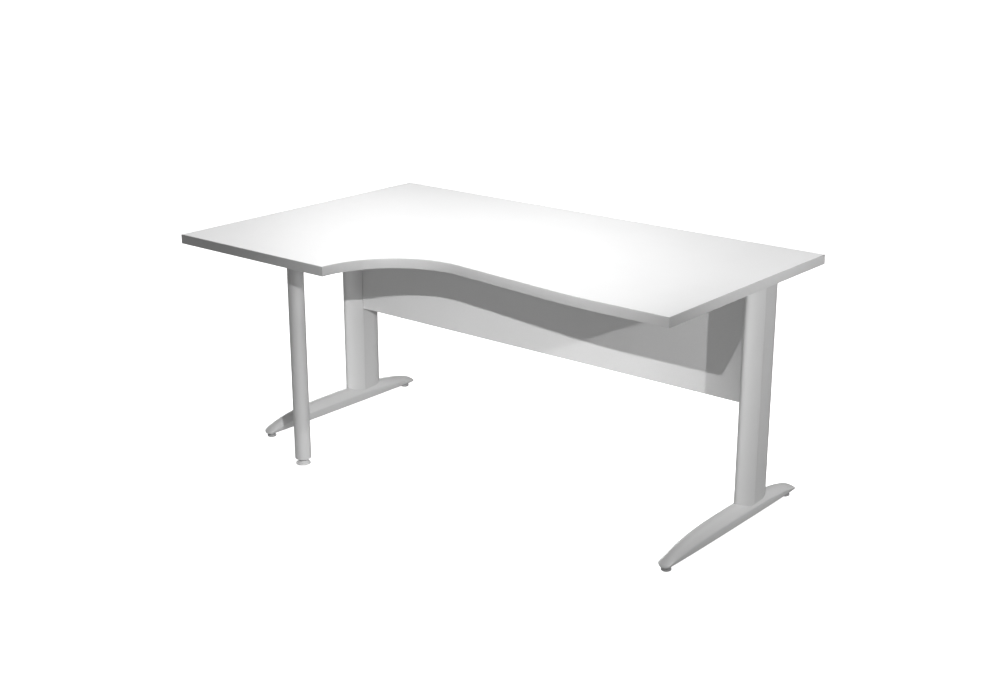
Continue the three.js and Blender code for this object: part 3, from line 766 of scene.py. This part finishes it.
stud = threaded_stud(0.027, 0.0083, 0.0117)
for end, side in ends.items():
    for place, y in glide_y.items():
        glide = f"{end}_{place}"
        own = set_down(pad, side * leg_x, leg_y + y)
        name = f"{glide}_glide_pad"
        fit(own, f"{glide}_disc", f"{glide}_pad", "dark_plastic", dark_plastic, name)
        own = set_down(stud, side * leg_x, leg_y + y)
        name = f"{glide}_glide_stud"
        fit(own, f"{glide}_levelling_stud", f"{glide}_stud", "zinc_steel", zinc_steel, name)
bpy.data.objects.remove(pad)
bpy.data.objects.remove(stud)

# Pillar
# A 50 mm steel tube hangs from a screwed plate under the deep end's front. Its plastic plug takes
# the stud of one wider glide, moulded in light grey.
pillar_top = 0.688
post_low = 0.021
post_radius = 0.025
post_inner = 0.0235
head_half = 0.055
head_corner = 0.014
light_plastic = moulded("light_plastic", (0.5, 0.5, 0.5), (0.56, 0.56, 0.56), 0.42, 1600, 0.00006)

post = turned([
    (post_inner, post_low), (0.0248, post_low), (post_radius, post_low + 0.0003),
    (post_radius, pillar_top), (post_inner, pillar_top), (post_inner, post_low),
], 96)
post.location = (pillar_x, pillar_y, 0)
# The post takes the tube's coat, darkened with the same painted shade.
fit(post, "pillar_post", "frame", "silver_paint", tube_paint_painted_shade, "pillar_tube")

head = plate(head_half, -head_half, head_half, pillar_top, underside, head_corner)
holes = drills([(x, y, pillar_top) for x, y in head_screws], screw_hole_radius, 0.006)
combine(head, "DIFFERENCE", holes)
head.location = (pillar_x, pillar_y, 0)
fit(head, "pillar_head", "frame", "silver_paint", silver_paint, "pillar_plate")

plug = turned([
    (0.0042, 0.018), (0.0235, 0.018), (post_radius, 0.0192), (post_radius, 0.0209),
    (0.0232, 0.0209), (0.0232, 0.0505), (0.0225, 0.051), (0.0042, 0.051), (0.0042, 0.018),
], 64)
plug.location = (pillar_x, pillar_y, 0)
fit(plug, "pillar_end_plug", "frame", "light_plastic", light_plastic, "pillar_plug")

disc = turned([
    (0, 0), (0.0222, 0), (0.023, 0.0008), (0.023, 0.0032), (0.0224, 0.0042), (0.0148, 0.0082),
    (0.0134, 0.0094), (0.013, 0.0104), (0.013, 0.0133), (0.0123, 0.014), (0.0048, 0.014),
    (0.0042, 0.0134), (0.0042, 0.003), (0, 0.003),
], 64)
disc.location = (pillar_x, pillar_y, 0)
fit(disc, "pillar_disc", "pillar_pad", "light_plastic", light_plastic, "pillar_glide_pad")

stud = threaded_stud(0.052, 0.0143, 0.0177)
stud.location = (pillar_x, pillar_y, 0)
fit(stud, "pillar_levelling_stud", "pillar_stud", "zinc_steel", zinc_steel, "pillar_glide_stud")

# Modesty panel
# An 18 mm board faced with light grey melamine, banded at its ends and along its lower edge.
# It hangs between the columns from brackets on its back, into which pilot holes are drilled.
grey_melamine = melamine("grey_melamine", (0.576, 0.576, 0.576), (0.618, 0.618, 0.618))
panel_end = 0.7405
panel_front = 0.197
panel_low = 0.342
panel_banding = 0.001
side_screw_x = leg_x - flank_x(0.007) - bracket_hole
side_screw_z = (-0.016, 0.016)
hanger_screw_z = 0.672
panel_pilot_depth = 0.0153
along_x = (0, pi / 2, 0)
along_y = (pi / 2, 0, 0)
panel_holes = [
    (side * side_screw_x, panel_rear, height + z)
    for side in ends.values()
    for height in bracket_heights.values()
    for z in side_screw_z
]
for centre in top_bracket_x.values():
    panel_holes += [(centre + x, panel_rear, hanger_screw_z) for x in bracket_screw_x]


def slab(low, high, arris=0.0):
    """A sawn block between two corners, with its arrises eased."""
    deselect()
    bpy.ops.mesh.primitive_cube_add(size=1, location=[(a + b) / 2 for a, b in zip(low, high)])
    block = bpy.context.object
    block.scale = [b - a for a, b in zip(low, high)]
    settle(block)
    if arris:
        round_off(block, arris, lambda middle, way: True)
    return block


inner_end = panel_end - panel_banding
inner_low = panel_low + panel_banding
panel = slab((-inner_end, panel_front, inner_low), (inner_end, panel_rear, underside))
combine(panel, "DIFFERENCE", drills(panel_holes, pilot_radius, panel_pilot_depth, along_y))
fit(panel, "knee_panel", "frame", "grey_melamine", grey_melamine, "modesty_panel")
for end, side in ends.items():
    low_x, high_x = sorted((side * panel_end, side * inner_end))
    strip = slab((low_x, panel_front, inner_low), (high_x, panel_rear, underside), 0.0003)
    name = f"panel_edge_band_{end}"
    fit(strip, f"panel_{end}_edging", "frame", "grey_edging", grey_edging, name)
strip = slab((-panel_end, panel_front, panel_low), (panel_end, panel_rear, inner_low), 0.0003)
fit(strip, "panel_lower_edging", "frame", "grey_edging", grey_edging, "panel_edge_band_bottom")

# Brackets
# Seven angles folded from 2.5 mm zinc-plated steel: three hang the panel from the board, and two
# join it to the tube of each column.
fold_radius = 0.0045
leg_corner_radius = 0.004
panel_leg = 0.034
tube_leg = 0.026
side_bracket_height = 0.06
hanger_leg = 0.032
hanger_width = 0.05


def folded(first_leg, second_leg, width, slant=0.0):
    """An angle along Z with its bend at the origin: one leg along X, the other along Y."""
    t = bracket_plate
    bend = fold_radius
    tip = Vector((-sin(slant), cos(slant)))
    side = Vector((cos(slant), sin(slant)))
    outline = [(first_leg, 0), (first_leg, t), (bend, t)]
    for step in range(1, 6):
        angle = pi / 2 * step / 6
        outline.append((bend - (bend - t) * sin(angle), bend - (bend - t) * cos(angle)))
    far = tip * second_leg
    outline += [tuple(side * t + tip * bend), tuple(far + side * t), tuple(far)]
    for step in range(0, 7):
        angle = pi / 2 * step / 6
        outline.append((bend - bend * cos(angle), bend - bend * sin(angle)))
    piece = draw([(x, y, -width / 2) for x, y in outline])
    thicken(piece, (0, 0, width))

    def leg_corner(middle, way):
        at_first = abs(middle.x - first_leg) < 1e-4 and abs(way.y) > 0.9
        at_second = (middle.xy - far - side * t / 2).length < 1e-4
        return abs(abs(middle.z) - width / 2) < 1e-5 and (at_first or at_second)

    return round_off(piece, leg_corner_radius, leg_corner, 5)


face_gap = 0.0003
panel_back = panel_rear - leg_y
angle = folded(panel_leg - face_gap, tube_leg, side_bracket_height, flank_turn)
hole_x = leg_x - side_screw_x - flank_x(panel_back) - face_gap
hole_y = column_screw_y - panel_back
tube_hole = [(-hole_y * sin(flank_turn), hole_y, 0)]
combine(
    angle,
    "DIFFERENCE",
    drills([(hole_x, 0, z) for z in side_screw_z], screw_hole_radius, 0.004, along_y),
    drills(tube_hole, screw_hole_radius, 0.004, (0, pi / 2, flank_turn)),
)
for end, side in ends.items():
    for level, z in bracket_heights.items():
        x = side * (leg_x - flank_x(panel_back) - face_gap)
        turn = (0, pi if side > 0 else 0, 0)
        own = set_down(angle, x, panel_rear, z, turn)
        name = f"{end}_{level}_side_bracket"
        fit(own, f"{end}_{level}_angle", "frame", "zinc_steel", zinc_steel, name)
bpy.data.objects.remove(angle)

hanger = folded(hanger_leg, hanger_leg, hanger_width)
combine(
    hanger,
    "DIFFERENCE",
    drills([(bracket_hole, 0, x) for x in bracket_screw_x], screw_hole_radius, 0.004, along_y),
    drills([(0, bracket_hole, x) for x in bracket_screw_x], screw_hole_radius, 0.004, along_x),
)
for place, x in top_bracket_x.items():
    own = set_down(hanger, x, panel_rear, underside, along_x)
    fit(own, f"{place}_hanger", "frame", "zinc_steel", zinc_steel, f"top_bracket_{place}")
bpy.data.objects.remove(hanger)

# Screws
# Zinc-plated pan-head screws with a cross recess: 22 mm long into the board, 15 mm into the panel,
# and 13 mm tapping screws into the columns.
screw_pitch = 0.0016
screw_crest = 0.0023
screw_root = 0.0017


def threaded_screw(length):
    """A screw that points up, with the seat of its head at zero height."""
    profile = [
        (0, -0.0026), (0.0016, -0.00258), (0.0028, -0.0024), (0.0038, -0.0019), (0.0044, -0.0011),
        (0.0046, -0.0002), (0.0045, 0), (screw_root, 0), (screw_root, 0.0008),
    ]
    height = 0.001
    while height < length - 0.0046:
        profile += [(screw_crest, height + 0.0004), (screw_root, height + 0.0009)]
        height += screw_pitch
    profile += [(0.0019, length - 0.0032), (0.0012, length - 0.0024), (0, length)]
    piece = turned(profile, 20)
    slots = []
    for turn in (0, pi / 2):
        deselect()
        bpy.ops.mesh.primitive_cube_add(size=1, location=(0, 0, -0.0024), rotation=(0, 0, turn))
        slot = bpy.context.object
        slot.scale = (0.0042, 0.0008, 0.0022)
        settle(slot)
        slots.append(slot)
    return combine(piece, "DIFFERENCE", *slots)


def drive(screw, name, x, y, z, turn=(0, 0, 0), *nodes):
    """Puts a copy of a screw in its hole, with the seat of its head at this place."""
    own = set_down(screw, x, y, z, turn)
    fit(own, name, "frame", "zinc_steel", zinc_steel, *nodes, smooth=40)


board_screw = threaded_screw(0.022)
panel_screw = threaded_screw(0.015)
tapping_screw = threaded_screw(0.013)
for end, side in ends.items():
    for number, (x, y) in enumerate(bar_screws, 1):
        drive(board_screw, f"{end}_bar_screw_{number}", side * leg_x + x, leg_y + y, column_top)
    for level, z in bracket_heights.items():
        for number, rise in enumerate(side_screw_z, 1):
            name = f"{end}_{level}_panel_screw_{number}"
            x = side * side_screw_x
            drive(panel_screw, name, x, panel_rear + bracket_plate, z + rise, along_y)
        out = bracket_plate + face_gap
        x = leg_x - flank_x(column_screw_y) - out * cos(flank_turn)
        y = leg_y + column_screw_y + out * sin(flank_turn)
        turn = (0, side * pi / 2, -side * flank_turn)
        node = f"{end}_{level}_side_bracket_screw"
        drive(tapping_screw, f"{end}_{level}_column_screw", side * x, y, z, turn, node)
for number, (x, y) in enumerate(head_screws, 1):
    node = f"pillar_plate_screw_{number}"
    spot = (pillar_x + x, pillar_y + y, pillar_top)
    drive(board_screw, f"pillar_head_screw_{number}", *spot, (0, 0, 0), node)
for place, centre in top_bracket_x.items():
    for number, x in enumerate(bracket_screw_x, 1):
        spot = (centre + x, panel_rear + bracket_hole, underside - bracket_plate)
        drive(board_screw, f"{place}_hanger_board_screw_{number}", *spot)
        spot = (centre + x, panel_rear + bracket_plate, hanger_screw_z)
        drive(panel_screw, f"{place}_hanger_panel_screw_{number}", *spot, along_y)
for screw in (board_screw, panel_screw, tapping_screw):
    bpy.data.objects.remove(screw)

# Hidden fittings
# Dark plastic clips hold each cover to its tube. Below, two zinc-plated bolts clamp the foot to a
# plate inside the tube, and pressed-in inserts take the glides. They keep their solids.
for name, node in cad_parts.items():
    if name.endswith("clip"):
        node.data.materials.clear()
        node.data.materials.append(dark_plastic)
    elif name.endswith(("base_plate", "bolt", "insert")):
        node.data.materials.clear()
        node.data.materials.append(zinc_steel)

# Backdrop
# A wide pale floor fills the view, just under the lowest reach of the glides. A pale dome stands
# round it for the views from other sides.
floor_z = -0.016
floor_size = 60
pale = Finish("pale_floor", roughness=0.9)
pale.shader.inputs["Base Color"].default_value = (0.8, 0.8, 0.8, 1)
pale.shader.inputs["Emission Color"].default_value = (1, 1, 1, 1)
pale.shader.inputs["Emission Strength"].default_value = 0.95
deselect()
bpy.ops.mesh.primitive_plane_add(size=floor_size, location=(0, 10, floor_z))
floor = bpy.context.object
floor.name = "floor"
deselect()
bpy.ops.mesh.primitive_uv_sphere_add(segments=48, ring_count=24, radius=floor_size)
dome = bpy.context.object
dome.name = "dome"
for stage in (floor, dome):
    stage.data.materials.append(pale.material)
    stage.visible_diffuse = False
    stage.visible_glossy = False
dome.visible_shadow = False
dome.visible_transmission = False

# Light
# Lamps stand in front, to the right and above, and softer ones fill from the right, the left and
# behind, below the top's level. Pale light comes from all round and from below.
world = bpy.data.worlds.new("studio")
bpy.context.scene.world = world
world.use_nodes = True
world.node_tree.nodes["Background"].inputs["Color"].default_value = (1, 1, 1, 1)
world.node_tree.nodes["Background"].inputs["Strength"].default_value = 0.216


def lamp(name, place, aim, cone, level, size, steady):
    """A lamp that gives the same level of light at any distance if it is steady."""
    deselect()
    bpy.ops.object.light_add(type="SPOT" if cone else "POINT", location=place)
    light = bpy.context.object
    light.name = name
    light.data.shadow_soft_size = size
    light.data.energy = level * 4 * pi**2
    if cone:
        way = Vector(place) - Vector(aim)
        light.rotation_euler = way.to_track_quat("Z", "Y").to_euler()
        light.data.spot_size = radians(cone)
        light.data.spot_blend = 1
    if steady:
        light.data.use_nodes = True
        tree = light.data.node_tree
        falloff = tree.nodes.new("ShaderNodeLightFalloff")
        falloff.inputs["Strength"].default_value = 1
        tree.links.new(falloff.outputs["Constant"], tree.nodes["Emission"].inputs["Strength"])


lamp("front_lamp", (1.131, -1.487, 1.373), (0.394, -0.532, 0.6), 51.5, 0.873, 0.008, True)
lamp("right_lamp", (1.607, -0.227, 1.053), (0.96, 0.472, 0.6), 108.8, 0.827, 0.008, True)
lamp("top_lamp", (-0.202, -0.108, 2.303), None, None, 2.179, 0.3, False)
lamp("near_lamp", (2.161, -2.461, 1.057), None, None, 0.92, 0.3, False)
lamp("right_fill", (3.2, -0.15, 0.3), None, None, 0.066, 0.5, True)
lamp("back_fill", (-2.6, 1.9, 0.45), None, None, 0.5, 0.6, True)
lamp("left_fill", (-3.2, 0.5, 0.45), None, None, 0.25, 0.6, True)
glow_level = 0.219
glow_radius = 0.9
deselect()
bpy.ops.object.light_add(type="AREA", location=(0, 0, 0.002), rotation=(pi, 0, 0))
glow = bpy.context.object
glow.name = "floor_glow"
glow.data.shape = "DISK"
glow.data.size = 2 * glow_radius
glow.data.energy = glow_level * (pi * glow_radius) ** 2
glow.visible_camera = False
bpy.context.scene.view_settings.view_transform = "Standard"
